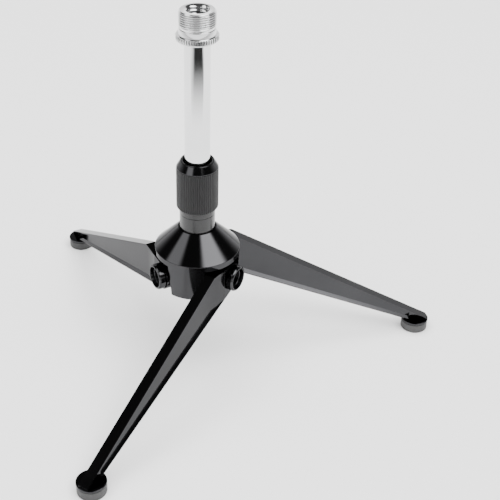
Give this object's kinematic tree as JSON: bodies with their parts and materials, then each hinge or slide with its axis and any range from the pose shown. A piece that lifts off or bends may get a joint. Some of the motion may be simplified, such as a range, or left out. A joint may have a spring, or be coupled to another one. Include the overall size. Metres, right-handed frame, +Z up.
{
  "type": "desktop microphone stand",
  "caption": "Folding tripod desk stand: chrome tube in a twist clutch on a conical black hub, flat cast legs on recessed bolts, round rubber feet and a threaded microphone adapter.",
  "frame": {"origin": "on the hub's vertical axis, at the level of the table that the feet stand on", "axes": "+Z up along the tube; +Y along the pivot bolt of leg 1 and +X the way leg 1 runs out"},
  "size_m": [0.1891, 0.1998, 0.1696],
  "materials": {
    "chrome": "mirror polished",
    "gloss_black": "high gloss black coat",
    "bolt_black": "gloss black coat",
    "satin_black": "satin black coat",
    "nylon": "matt moulded nylon",
    "steel": "plain turned steel",
    "rubber": "matt rubber"
  },
  "bodies": {
    "hub": {"hub_casting": "gloss_black", "hub_plug": "satin_black", "neck_sleeve": "satin_black", "clutch_collet": "nylon", "lock_ring": "satin_black", "pivot_bolt_1": "bolt_black", "pivot_bolt_2": "bolt_black", "pivot_bolt_3": "bolt_black", "pivot_washer_1": "nylon", "pivot_washer_2": "nylon", "pivot_washer_3": "nylon"},
    "collar": {"clutch_collar": "satin_black", "collar_cap": "gloss_black"},
    "slider": {"tube_guide": "nylon"},
    "tube": {"upper_tube": "chrome", "adapter_stud": "steel"},
    "washer": {"adapter_washer": "steel"},
    "adapter": {"thread_adapter": "chrome"},
    "leg_1": {"leg_1": "gloss_black", "foot_pad_1": "rubber"},
    "leg_2": {"leg_2": "gloss_black", "foot_pad_2": "rubber"},
    "leg_3": {"leg_3": "gloss_black", "foot_pad_3": "rubber"}
  },
  "joints": [
    {"name": "collar_turn", "type": "hinge", "parent": "hub", "child": "collar", "pos_m": [0, 0, 0.087], "axis": [0, 0, 1], "range_deg": [0, 120]},
    {"name": "tube_slide", "type": "slide", "parent": "hub", "child": "slider", "axis": [0, 0, 1], "range_m": [-0.0185, 0.0115]},
    {"name": "tube_turn", "type": "hinge", "parent": "slider", "child": "tube", "pos_m": [0, 0, 0.11], "axis": [0, 0, 1], "continuous": true},
    {"name": "adapter_turn", "type": "hinge", "parent": "tube", "child": "washer", "pos_m": [0, 0, 0.156], "axis": [0, 0, 1], "range_deg": [0, 1800]},
    {"name": "adapter_rise", "type": "slide", "parent": "washer", "child": "adapter", "axis": [0, 0, 1], "range_m": [0, 0.00794]},
    {"name": "leg_fold_1", "type": "hinge", "parent": "hub", "child": "leg_1", "pos_m": [0, 0, 0.045], "axis": [0, 1, 0], "range_deg": [0, 76]},
    {"name": "leg_fold_2", "type": "hinge", "parent": "hub", "child": "leg_2", "pos_m": [0, 0, 0.045], "axis": [-0.866, -0.5, 0], "range_deg": [0, 76]},
    {"name": "leg_fold_3", "type": "hinge", "parent": "hub", "child": "leg_3", "pos_m": [0, 0, 0.045], "axis": [0.866, -0.5, 0], "range_deg": [0, 76]}
  ],
  "couplings": [
    {"joint": "adapter_turn", "follows": "adapter_rise", "rad_per_m": 3957.9}
  ]
}
